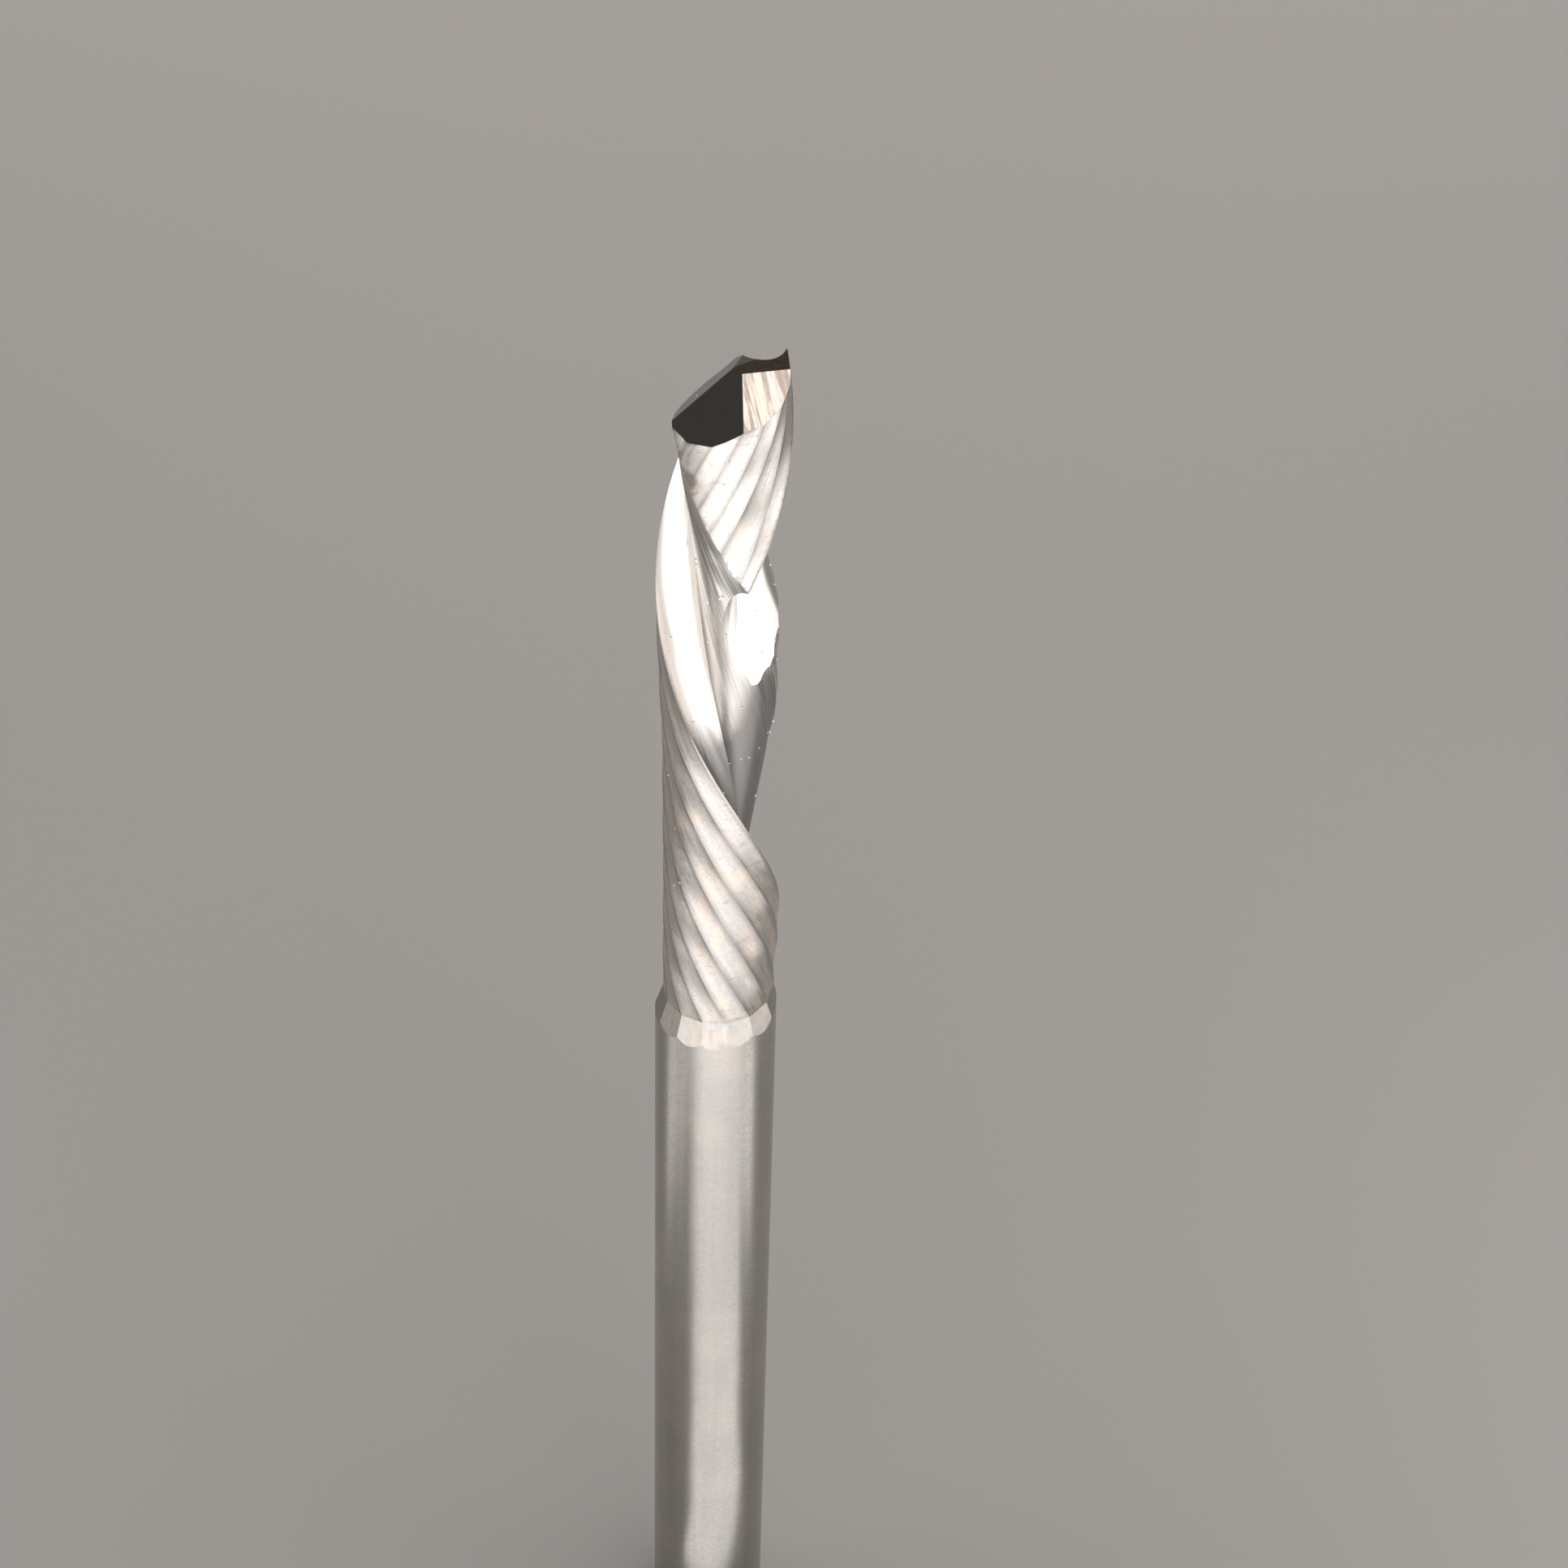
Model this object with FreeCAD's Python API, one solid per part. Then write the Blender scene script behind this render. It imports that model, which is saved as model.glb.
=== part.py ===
import FreeCAD
import Part
import math
import os

# Compression router bit, one solid piece of ground carbide.
# The origin is the middle of the shank's end face and +Z runs along the axis to the cutting tip.
# All lengths are in millimetres and all angles in degrees, and angles about the axis are counted
# anticlockwise as seen from the tip, which is also the way the bit turns.

# Blank
shank_diameter = 3.175
cutting_diameter = 3.175
overall_length = 45.0
shank_end_chamfer = 0.20
back_taper = 0.010              # how much the cutting radius shrinks from the tip to the shoulder
shoulder_length = 0.40          # cone from there out to the shank

# Flutes: both have the same hook, and only their hand differs
lead = 20.70                    # axial length of one full turn
up_cut_azimuth = 29.5           # cutting corner at the tip
down_cut_azimuth = 73.8         # down-cut edge, carried on to the height of the tip
hook_depth = 0.19               # how far the rake face is hollowed behind the line to the axis
hook_middle = 1.05              # distance from the axis at which it is deepest
core_corner_radius = 0.60       # where the hollow of the rake face meets the core
core_corner_angle = 20.0
core_side_radius = 0.885        # middle of the bulged side of the core
core_side_angle = 63.0
knee_radius = 1.165             # ridge between the core and the heel flat
knee_angle = 95.0
heel_angle = 126.0              # where the heel flat meets the cutting diameter

# Down-cut part
down_cut_length = 17.00         # from the tip to where the flute begins to run out
down_cut_runout_radius = 9.0
down_cut_runout_direction = 97.0
down_cut_runout_turn = 0.0

# Up-cut part
up_cut_length = 5.46
up_cut_runout_radius = 5.6
up_cut_runout_direction = 97.0
up_cut_runout_turn = 35.0       # how far the flute swings ahead while it runs out

# Ground lands: the angle behind the cutting edge and the distance from the axis of each ridge
margin_angle = 1.6              # round margin left at the cutting edge
down_cut_land_length = 19.63    # from the tip to the lower end of the facets
down_cut_ridges = [
    (23.1, 1.562), (49.8, 1.500), (76.7, 1.430), (105.6, 1.416), (132.1, 1.405),
    (157.2, 1.390), (183.0, 1.390), (209.5, 1.390), (236.0, 1.390), (262.0, 1.390),
]
up_cut_primary_top = (33.5, 1.508)      # ridge behind the first facet, at the tip
up_cut_primary_bottom = (11.5, 1.555)   # the same ridge where the up-cut edge ends
up_cut_ridges = [
    (46.0, 1.478), (65.5, 1.448), (86.5, 1.430), (107.5, 1.413), (132.0, 1.405),
    (156.5, 1.397), (180.5, 1.397), (204.5, 1.397),
]
up_cut_land_length = 5.55
land_runout_angle = 17.0        # slope of each facet's lower end, from the axis
land_runout_length = 1.10       # axial length of the wheel's way out, past where it leaves the shank

# End faces, each by its slope, the azimuth towards which it falls, and the height above the
# cutting corner at which its plane meets the axis
end_relief = (7.2, -55.5, 0.017)
end_clearance = (38.4, -71.0, 0.247)
front_gash = (43.3, -121.7, -0.037)
back_gash = (46.3, 158.4, -0.199)

# Working values
cutting_radius = cutting_diameter / 2
shank_radius = shank_diameter / 2
full_turn = 360.0
turn_per_mm = full_turn / lead
up_flute_middle = 50.0          # angle ahead of the edge that lies inside the flute at every height
down_flute_middle = 66.0
front_guard_length = 7.0
back_guard_length = 6.6
section_step = 0.80             # axial distance between the sections of a helical cut
overrun = 0.60                  # how far a cut starts above the tip
flute_overshoot_angle = 50.0    # how far the hollow of the hook is carried on outside the blank
up_hand = 1
down_hand = -1


def at(radius, angle, z=0.0):
    """Point at a distance from the axis and an azimuth."""
    turn = math.radians(angle)
    return FreeCAD.Vector(radius * math.cos(turn), radius * math.sin(turn), z)


def line(a, b):
    return Part.LineSegment(a, b).toShape()


def arc(a, middle, b):
    return Part.Arc(a, middle, b).toShape()


def polyline(points):
    return [line(a, b) for a, b in zip(points, points[1:])]


def flute_section():
    """Outline of what the wheel removes, with the cutting edge at azimuth 0."""
    edge = at(cutting_radius, 0)
    hollow = FreeCAD.Vector(hook_middle, -hook_depth, 0)
    core_corner = at(core_corner_radius, core_corner_angle)
    core_side = at(core_side_radius, core_side_angle)
    knee = at(knee_radius, knee_angle)
    heel = at(cutting_radius, heel_angle)
    heel_out = heel + (heel - knee) * 0.4
    hook = Part.Arc(edge, hollow, core_corner).toShape().Curve
    out_angle = hook.parameter(edge) - math.radians(flute_overshoot_angle)
    edge_out = hook.value(out_angle)
    outside = [heel_out, at(1.5 * cutting_radius, heel_angle - 12),
               at(1.6 * cutting_radius, heel_angle / 2 + 20), at(1.6 * cutting_radius, heel_angle / 4),
               edge_out]
    rake = arc(edge_out, hollow, core_corner)
    core = arc(core_corner, core_side, knee)
    return [rake, core, line(knee, heel_out)] + polyline(outside)


def land_section(ridges, growth=1.0):
    """Outline of what the relief wheel removes outside a row of flat facets, grown about the axis."""
    margin = at(growth * cutting_radius, -margin_angle)
    corners = [at(growth * radius, -behind) for behind, radius in ridges]
    start = margin + (margin - corners[0]) * 0.6
    last = ridges[-1][0]
    count = 8
    reach = 1.7 * growth * cutting_radius
    outside = [at(reach, -last + (last + 14) * i / (count - 1)) for i in range(count)]
    return polyline([start] + corners + outside + [start])


def placed(edges, azimuth, height, shift=None):
    """Section wire turned to its azimuth, lifted to its height and moved sideways."""
    wire = Part.Wire(edges)
    if shift is not None:
        wire.translate(shift)
    wire.rotate(FreeCAD.Vector(0, 0, 0), FreeCAD.Vector(0, 0, 1), azimuth)
    wire.translate(FreeCAD.Vector(0, 0, height))
    return wire


def stations(top, bottom):
    """Heights from top to bottom, evenly spaced, about a section step apart."""
    count = max(2, math.ceil((top - bottom) / section_step) + 1)
    return [top + (bottom - top) * i / (count - 1) for i in range(count)]


def azimuth_at(start, hand, height):
    return start + hand * turn_per_mm * (height - overall_length)


def helical_flute(start, hand, length, runout_radius, direction, swing):
    """A flute from above the tip, which leaves the blank on an arc at its lower end."""
    outline = flute_section()
    full = stations(overall_length + overrun, overall_length - length)
    lift = 1.1 * cutting_radius
    run = math.sqrt(2 * runout_radius * lift)
    wires = [placed(outline, azimuth_at(start, hand, z), z) for z in full]
    steps = 7
    for i in range(1, steps + 1):
        fall = run * i / steps
        z = full[-1] - fall
        shift = at(fall * fall / (2 * runout_radius), direction)
        turn = swing * (i / steps) ** 2
        wires.append(placed(outline, azimuth_at(start, hand, z) + turn, z, shift))
    return Part.makeLoft(wires, True, False)


def blank():
    """The round rod before grinding."""
    top = overall_length
    neck = top - down_cut_land_length - 2 * shoulder_length
    points = [FreeCAD.Vector(0, 0, 0), FreeCAD.Vector(shank_radius - shank_end_chamfer, 0, 0),
              FreeCAD.Vector(shank_radius, 0, shank_end_chamfer), FreeCAD.Vector(shank_radius, 0, neck),
              FreeCAD.Vector(cutting_radius - back_taper, 0, neck + shoulder_length),
              FreeCAD.Vector(cutting_radius, 0, top), FreeCAD.Vector(0, 0, top), FreeCAD.Vector(0, 0, 0)]
    profile = Part.Face(Part.Wire(polyline(points)))
    return profile.revolve(FreeCAD.Vector(0, 0, 0), FreeCAD.Vector(0, 0, 1), full_turn)


def wedge(first, first_hand, second, second_hand, top, bottom):
    """Everything from one flute's middle anticlockwise to the other's, to keep facets off a land."""
    reach = 2.2 * cutting_radius
    count = 11
    wires = []
    for z in stations(top, bottom):
        start = azimuth_at(first, first_hand, z)
        sweep = azimuth_at(second, second_hand, z) - start
        rim = [at(reach, start + sweep * i / (count - 1)) for i in range(count)]
        centre = FreeCAD.Vector(0, 0, 0)
        wires.append(placed(polyline([centre] + rim + [centre]), 0, z))
    return Part.makeLoft(wires, True, False)


def down_cut_land():
    top = overall_length + overrun
    bottom = overall_length - down_cut_land_length
    outline = land_section(down_cut_ridges)
    wires = [placed(outline, azimuth_at(down_cut_azimuth, down_hand, z), z) for z in stations(top, bottom)]
    return Part.makeLoft(wires, True, False)


def down_cut_land_runout():
    """Sloping flats that bring the facets out to the shank at their lower end."""
    top = overall_length - down_cut_land_length
    growth = 1 + land_runout_length * math.tan(math.radians(land_runout_angle)) / down_cut_ridges[-1][1]
    azimuth = azimuth_at(down_cut_azimuth, down_hand, top)
    upper = placed(land_section(down_cut_ridges), azimuth, top)
    lower = placed(land_section(down_cut_ridges, growth), azimuth, top - land_runout_length)
    return Part.makeLoft([upper, lower], True, True)


def up_cut_land():
    top = overall_length + overrun
    bottom = overall_length - up_cut_land_length
    wires = []
    for z in stations(top, bottom):
        share = (overall_length - z) / up_cut_land_length
        behind = up_cut_primary_top[0] + share * (up_cut_primary_bottom[0] - up_cut_primary_top[0])
        radius = up_cut_primary_top[1] + share * (up_cut_primary_bottom[1] - up_cut_primary_top[1])
        outline = land_section([(behind, radius)] + up_cut_ridges)
        wires.append(placed(outline, azimuth_at(up_cut_azimuth, up_hand, z), z))
    return Part.makeLoft(wires, True, False)


def slanted_box(normal, point, size):
    """A large box that starts at a plane and reaches along its normal."""
    box = Part.makeBox(size, size, size, FreeCAD.Vector(-size / 2, -size / 2, 0))
    box.Placement = FreeCAD.Placement(point, FreeCAD.Rotation(FreeCAD.Vector(0, 0, 1), normal))
    return box


def end_face(face):
    slope, azimuth, height = face
    normal = at(math.sin(math.radians(slope)), azimuth, math.cos(math.radians(slope)))
    return slanted_box(normal, FreeCAD.Vector(0, 0, overall_length + height), 8 * cutting_radius)


def build():
    body = blank()
    down_flute = helical_flute(down_cut_azimuth, down_hand, down_cut_length,
                               down_cut_runout_radius, down_cut_runout_direction, down_cut_runout_turn)
    up_flute = helical_flute(up_cut_azimuth, up_hand, up_cut_length,
                             up_cut_runout_radius, up_cut_runout_direction, up_cut_runout_turn)
    top = overall_length + 2 * overrun
    up_middle = up_cut_azimuth + up_flute_middle
    down_middle = down_cut_azimuth + down_flute_middle
    front = wedge(down_middle, down_hand, up_middle + full_turn, up_hand, top, overall_length - front_guard_length)
    back = wedge(up_middle, up_hand, down_middle, down_hand, top, overall_length - back_guard_length)
    body = body.cut(down_cut_land().cut(front))
    body = body.cut(up_cut_land().cut(back))
    body = body.cut(down_flute)
    body = body.cut(up_flute)
    for face in (end_relief, end_clearance, front_gash, back_gash):
        body = body.cut(end_face(face))
    body = body.cut(down_cut_land_runout())
    return body


os.makedirs("parts", exist_ok=True)
router_bit = build()
router_bit.exportStep("parts/router_bit.step")
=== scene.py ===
"""A small compression router bit, ground from one rod of carbide, and the studio it stands in."""

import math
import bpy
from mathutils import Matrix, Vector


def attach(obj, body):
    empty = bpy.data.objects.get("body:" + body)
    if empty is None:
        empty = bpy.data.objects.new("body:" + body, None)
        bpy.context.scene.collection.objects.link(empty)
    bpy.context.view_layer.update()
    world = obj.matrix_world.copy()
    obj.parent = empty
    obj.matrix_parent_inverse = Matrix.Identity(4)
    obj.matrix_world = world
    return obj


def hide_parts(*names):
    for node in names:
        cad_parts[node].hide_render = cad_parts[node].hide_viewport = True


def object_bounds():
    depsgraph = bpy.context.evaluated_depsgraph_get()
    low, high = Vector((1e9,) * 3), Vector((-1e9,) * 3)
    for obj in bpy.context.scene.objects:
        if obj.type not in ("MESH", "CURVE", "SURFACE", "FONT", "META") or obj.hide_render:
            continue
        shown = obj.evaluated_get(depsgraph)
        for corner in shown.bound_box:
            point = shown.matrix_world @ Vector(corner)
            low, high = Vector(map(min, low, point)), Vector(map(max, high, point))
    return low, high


bl_info = {
    "name": "Compression router bit",
    "version": (1, 0, 0),
    "blender": (4, 5, 0),
    "location": "3D View > Sidebar > Router Bit",
    "description": "Grinds a compression router bit, dusts it and lights it",
    "category": "Add Mesh",
}

import bpy
from mathutils import Matrix, Vector

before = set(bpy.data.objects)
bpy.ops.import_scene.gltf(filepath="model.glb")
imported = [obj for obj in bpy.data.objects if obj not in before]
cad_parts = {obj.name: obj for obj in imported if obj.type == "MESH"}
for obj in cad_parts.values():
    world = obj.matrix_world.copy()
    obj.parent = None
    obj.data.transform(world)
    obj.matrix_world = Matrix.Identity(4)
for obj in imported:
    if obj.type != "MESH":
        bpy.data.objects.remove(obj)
cad_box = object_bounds()
cad_height = cad_box[1].z - cad_box[0].z


# Settings that a user would change

class BitSizes(bpy.types.PropertyGroup):
    """Sizes of the blank and of the cuts that are ground into it."""

    overall_length: bpy.props.FloatProperty(
        name="Overall length", description="From the shank's end to the cutting corner",
        default=round(cad_height, 5), unit="LENGTH")
    shank_diameter: bpy.props.FloatProperty(
        name="Shank diameter", description="Diameter that the collet grips",
        default=0.003175, unit="LENGTH")
    cutting_diameter: bpy.props.FloatProperty(
        name="Cutting diameter", description="Diameter across the cutting edges at the tip",
        default=0.003175, unit="LENGTH")
    lead: bpy.props.FloatProperty(
        name="Lead", description="Axial length of one full turn of either spiral",
        default=0.0207, unit="LENGTH")
    up_cut_azimuth: bpy.props.FloatProperty(
        name="Up-cut corner", description="Where the up-cut edge meets the tip, about the axis",
        default=math.radians(29.5), subtype="ANGLE", unit="ROTATION")
    down_cut_azimuth: bpy.props.FloatProperty(
        name="Down-cut corner", description="Where the down-cut edge would meet the tip's height",
        default=math.radians(73.8), subtype="ANGLE", unit="ROTATION")
    up_cut_length: bpy.props.FloatProperty(
        name="Up-cut length", description="Depth at which the short flute starts to run out",
        default=0.00546, unit="LENGTH")
    down_cut_length: bpy.props.FloatProperty(
        name="Down-cut length", description="Depth at which the long flute starts to run out",
        default=0.0170, unit="LENGTH")
    land_length: bpy.props.FloatProperty(
        name="Land length", description="From the tip to the lower end of the ground facets",
        default=0.01963, unit="LENGTH")


class CarbideFinish(bpy.types.PropertyGroup):
    """Colours and marks of the ground carbide, and the dust on it."""

    carbide: bpy.props.FloatVectorProperty(
        name="Carbide", description="Colour of the polished carbide",
        default=(0.41, 0.389, 0.370), size=3, min=0.0, max=1.0, subtype="COLOR")
    warm_film: bpy.props.FloatVectorProperty(
        name="Warm film", description="Tint of the thin film of coolant and resin on the facets",
        default=(0.62, 0.52, 0.42), size=3, min=0.0, max=1.0, subtype="COLOR")
    rose_film: bpy.props.FloatVectorProperty(
        name="Rose film", description="Second, rosier tint of that film",
        default=(0.56, 0.46, 0.44), size=3, min=0.0, max=1.0, subtype="COLOR")
    brown_stain: bpy.props.FloatVectorProperty(
        name="Brown stain", description="Burnt resin in the streaks of the end faces",
        default=(0.28, 0.20, 0.15), size=3, min=0.0, max=1.0, subtype="COLOR")
    groove: bpy.props.FloatVectorProperty(
        name="Groove", description="Dull bottom of the grinding marks",
        default=(0.24, 0.225, 0.215), size=3, min=0.0, max=1.0, subtype="COLOR")
    land_roughness: bpy.props.FloatProperty(
        name="Land roughness", description="Roughness of the facets behind the edges",
        default=0.33, min=0.0, max=1.0, subtype="FACTOR")
    flute_roughness: bpy.props.FloatProperty(
        name="Flute roughness", description="Roughness of the polished flutes",
        default=0.25, min=0.0, max=1.0, subtype="FACTOR")
    end_roughness: bpy.props.FloatProperty(
        name="End roughness", description="Roughness of the gashes and of the faces at the tip",
        default=0.16, min=0.0, max=1.0, subtype="FACTOR")
    shank_roughness: bpy.props.FloatProperty(
        name="Shank roughness", description="Roughness of the centreless ground shank",
        default=0.29, min=0.0, max=1.0, subtype="FACTOR")
    dust_grains: bpy.props.IntProperty(
        name="Dust grains", description="How many grains of dust cling to the bit",
        default=110, min=0, max=2000)
    grain_size: bpy.props.FloatProperty(
        name="Grain size", description="Diameter of a middling grain of dust",
        default=0.00006, min=0.0, unit="LENGTH")
    dust: bpy.props.FloatVectorProperty(
        name="Dust", description="Colour of the dust",
        default=(0.80, 0.77, 0.73), size=3, min=0.0, max=1.0, subtype="COLOR")


class StudioStage(bpy.types.PropertyGroup):
    """Floor, lamps and camera."""

    floor_colour: bpy.props.FloatVectorProperty(
        name="Floor", description="Colour of the plain floor",
        default=(0.36, 0.335, 0.315), size=3, min=0.0, max=1.0, subtype="COLOR")
    room_level: bpy.props.FloatProperty(
        name="Room level", description="Brightness of the empty room around the bit",
        default=0.085, min=0.0)
    lens: bpy.props.FloatProperty(
        name="Lens", description="Focal length on a 36 mm wide sensor, in millimetres",
        default=89.98, min=1.0)


# Node trees as expressions

class Value:
    """An output socket that can be added, subtracted, multiplied and divided."""

    def __init__(self, graph, socket):
        self.graph = graph
        self.socket = socket

    def __add__(self, other):
        return self.graph.math("ADD", self, other)

    def __radd__(self, other):
        return self.graph.math("ADD", other, self)

    def __sub__(self, other):
        return self.graph.math("SUBTRACT", self, other)

    def __rsub__(self, other):
        return self.graph.math("SUBTRACT", other, self)

    def __mul__(self, other):
        return self.graph.math("MULTIPLY", self, other)

    def __rmul__(self, other):
        return self.graph.math("MULTIPLY", other, self)

    def __truediv__(self, other):
        return self.graph.math("DIVIDE", self, other)

    def __rtruediv__(self, other):
        return self.graph.math("DIVIDE", other, self)


class Graph:
    """A node tree that is filled by calls."""

    def __init__(self, tree):
        self.tree = tree

    def node(self, kind, settings=None, sockets=None):
        """Adds a node, applies its settings, then sets or links its sockets."""
        made = self.tree.nodes.new(kind)
        for name, value in (settings or {}).items():
            setattr(made, name, value)
        for name, value in (sockets or {}).items():
            if isinstance(value, Value):
                self.tree.links.new(value.socket, made.inputs[name])
            else:
                made.inputs[name].default_value = value
        return made

    def out(self, kind, output, settings=None, sockets=None):
        """The same, but gives back one output as a value."""
        return Value(self, self.node(kind, settings, sockets).outputs[output])

    def math(self, operation, a, b=None):
        given = {i: v for i, v in enumerate((a, b)) if v is not None}
        return self.out("ShaderNodeMath", 0, {"operation": operation}, given)

    def clamp(self, value):
        return self.out("ShaderNodeClamp", 0, None, {"Value": value})

    def between(self, value, low, high):
        """0 below low and 1 above high, smooth in between."""
        return self.out("ShaderNodeMapRange", 0, {"interpolation_type": "SMOOTHSTEP"},
                        {"Value": value, "From Min": low, "From Max": high})

    def vector(self, operation, a, b, output=0):
        return self.out("ShaderNodeVectorMath", output, {"operation": operation}, {0: a, 1: b})

    def scaled(self, vector, factors):
        return self.vector("MULTIPLY", vector, factors)

    def parts(self, vector):
        split = self.node("ShaderNodeSeparateXYZ", None, {0: vector})
        return [Value(self, split.outputs[i]) for i in range(3)]

    def joined(self, x, y, z):
        return self.out("ShaderNodeCombineXYZ", 0, None, {0: x, 1: y, 2: z})

    def turned(self, vector, angle):
        return self.out("ShaderNodeVectorRotate", 0, {"rotation_type": "Z_AXIS"},
                        {"Vector": vector, "Angle": angle})

    def mixed(self, factor, a, b):
        """Mix of two colours."""
        return self.out("ShaderNodeMix", 2, {"data_type": "RGBA"}, {0: factor, 6: a, 7: b})

    def noise(self, vector, scale, detail, roughness):
        return self.out("ShaderNodeTexNoise", 0, None, {"Vector": vector, "Scale": scale,
                                                        "Detail": detail, "Roughness": roughness})

    def patches(self, vector, pattern):
        """1 inside a pattern's patches and 0 outside."""
        stretch, limits, detail, roughness = pattern
        noise = self.noise(self.scaled(vector, stretch), 1.0, detail, roughness)
        return self.between(noise, *limits)


def opaque(colour):
    return (*colour, 1.0)


def shaded(colour, share):
    return [share * c for c in colour]


# The bit, in millimetres and degrees, with each cutting edge at angle 0 of its wheel's outline

MILLIMETRES = 1000.0                     # in a metre

HOOK_MIDDLE = (1.05, -0.19)              # deepest point of the hollow rake face
CORE_CORNER = (0.60, 20.0)               # radius and angle, here and in the next two
CORE_SIDE = (0.885, 63.0)
KNEE = (1.165, 95.0)
HEEL_ANGLE = 126.0
HEEL_OVERSHOOT = 0.4                     # how far the heel flat is carried on, as a share of it
FLUTE_OUTSIDE = [(1.5, HEEL_ANGLE - 12), (1.6, HEEL_ANGLE / 2 + 20), (1.6, HEEL_ANGLE / 4)]
HOOK_PARTS, OVERSHOOT_PARTS, CORE_PARTS, HEEL_PARTS = 28, 12, 34, 14

MARGIN_ANGLE = 1.6
MARGIN_OVERSHOOT = 0.6
DOWN_CUT_RIDGES = [(23.1, 1.562), (49.8, 1.500), (76.7, 1.430), (105.6, 1.416), (132.1, 1.405),
                   (157.2, 1.390), (183.0, 1.390), (209.5, 1.390), (236.0, 1.390), (262.0, 1.390)]
UP_CUT_PRIMARY = [(33.5, 1.508), (11.5, 1.555)]              # at the tip, and where the land ends
UP_CUT_RIDGES = [(46.0, 1.478), (65.5, 1.448), (86.5, 1.430), (107.5, 1.413), (132.0, 1.405),
                 (156.5, 1.397), (180.5, 1.397), (204.5, 1.397)]
UP_CUT_LAND_LENGTH = 5.55
LAND_RUNOUT_ANGLE = 17.0
LAND_RUNOUT_LENGTH = 1.10
LAND_OUTSIDE = 1.7                       # radius of the outline's far side, in cutting radii
LAND_OUTSIDE_OVERLAP = 14.0
FACET_PARTS, LAND_OUTSIDE_PARTS = 4, 11

DOWN_CUT_RUNOUT = (9.0, 97.0, 0.0)       # radius of the arc, its direction, turn while running out
UP_CUT_RUNOUT = (5.6, 97.0, 35.0)
RUNOUT_LIFT = 1.1                        # how far a wheel has to move out, in cutting radii

UP_FLUTE_MIDDLE = 50.0
DOWN_FLUTE_MIDDLE = 66.0
FRONT_GUARD_LENGTH = 7.0
BACK_GUARD_LENGTH = 6.6
GUARD_REACH = 2.2                        # in cutting radii
GUARD_POINTS = 25

SHOULDER_LENGTH = 0.40
BACK_TAPER = 0.010
END_CHAMFER = 0.20
BLANK_SIDES = 256
OVERRUN = 0.60                           # how far a cut starts above the tip
SECTION_STEP = 0.12                      # between the sections of a wheel's sweep

# Slope, azimuth towards which it falls, and height above the tip at the axis
END_FACES = {"end_relief": (7.2, -55.5, 0.017), "end_clearance": (38.4, -71.0, 0.247),
             "front_gash": (43.3, -121.7, -0.037), "back_gash": (46.3, 158.4, -0.199)}
BLOCK_SIZE = 6.0

SMOOTH_ANGLE = 7.0                       # edges that bend more than this stay sharp
WEAR_ANGLES = (6.0, 18.0)                # bends at which wear starts and is full
FEWEST_FACES = 1000                      # a bit with fewer has gone wrong

# Dust
DUST_SEED = 7
DUST_REACH = 0.45                        # distance from the axis, in cutting diameters
DUST_DEPTH = 0.8                         # how far down the lands it lies, as a share of them
DUST_OFF_TIP = 0.001                     # in metres
DUST_NOISE = (9000.0, 2.0, 0.5)          # features per metre, detail and roughness
GRAIN_SCALES = ((0.4, 0.4, 0.4), (1.5, 1.5, 1.5))


def at(radius, degrees, z=0.0):
    """Point at a distance from the axis and an azimuth."""
    turn = math.radians(degrees)
    return Vector((radius * math.cos(turn), radius * math.sin(turn), z))


def arc_points(first, middle, last, count):
    """Points on the circle through three points, from the first to the last."""
    a, b = middle - first, last - first
    d = 2 * (a.x * b.y - a.y * b.x)
    centre = first + Vector(((b.y * a.length_squared - a.y * b.length_squared) / d,
                             (a.x * b.length_squared - b.x * a.length_squared) / d, 0))
    start = math.atan2(first.y - centre.y, first.x - centre.x)
    span = math.atan2(last.y - centre.y, last.x - centre.x) - start
    side = 1 if a.x * b.y - a.y * b.x > 0 else -1
    span = span % (side * 2 * math.pi)
    radius = (first - centre).length
    turns = [start + span * i / count for i in range(count + 1)]
    return [centre + radius * Vector((math.cos(turn), math.sin(turn), 0)) for turn in turns]


def straight(a, b, count):
    return [a.lerp(b, i / count) for i in range(count + 1)]


def flute_outline(radius):
    """Hook, core and heel flat of a flute, closed outside the blank."""
    edge, hollow = at(radius, 0), Vector((*HOOK_MIDDLE, 0))
    corner, side, knee = at(*CORE_CORNER), at(*CORE_SIDE), at(*KNEE)
    heel = at(radius, HEEL_ANGLE)
    heel_out = heel + (heel - knee) * HEEL_OVERSHOOT
    hook = arc_points(corner, hollow, edge, HOOK_PARTS)
    step = hook[-1] - hook[-2]
    curl = step.angle(hook[-2] - hook[-3])
    while len(hook) < HOOK_PARTS + OVERSHOOT_PARTS:
        step = Matrix.Rotation(curl, 3, "Z") @ step
        hook.append(hook[-1] + step)
    core = arc_points(corner, side, knee, CORE_PARTS)
    outside = [at(share * radius, angle) for share, angle in FLUTE_OUTSIDE]
    loop = hook[::-1] + core[1:] + straight(knee, heel_out, HEEL_PARTS)[1:] + outside
    return loop[::-1]


def land_outline(radius, ridges, growth=1.0):
    """Row of flat facets behind an edge, closed outside the blank, and grown about the axis."""
    margin = at(growth * radius, -MARGIN_ANGLE)
    corners = [at(growth * r, -behind) for behind, r in ridges]
    chain = [margin + (margin - corners[0]) * MARGIN_OVERSHOOT]
    for a, b in zip([margin] + corners, corners):
        chain += straight(a, b, FACET_PARTS)[1 if a != margin else 0:]
    last = ridges[-1][0]
    sweep = (last + LAND_OUTSIDE_OVERLAP) / LAND_OUTSIDE_PARTS
    reach = LAND_OUTSIDE * growth * radius
    return chain + [at(reach, -last + sweep * i) for i in range(LAND_OUTSIDE_PARTS + 1)]


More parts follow.
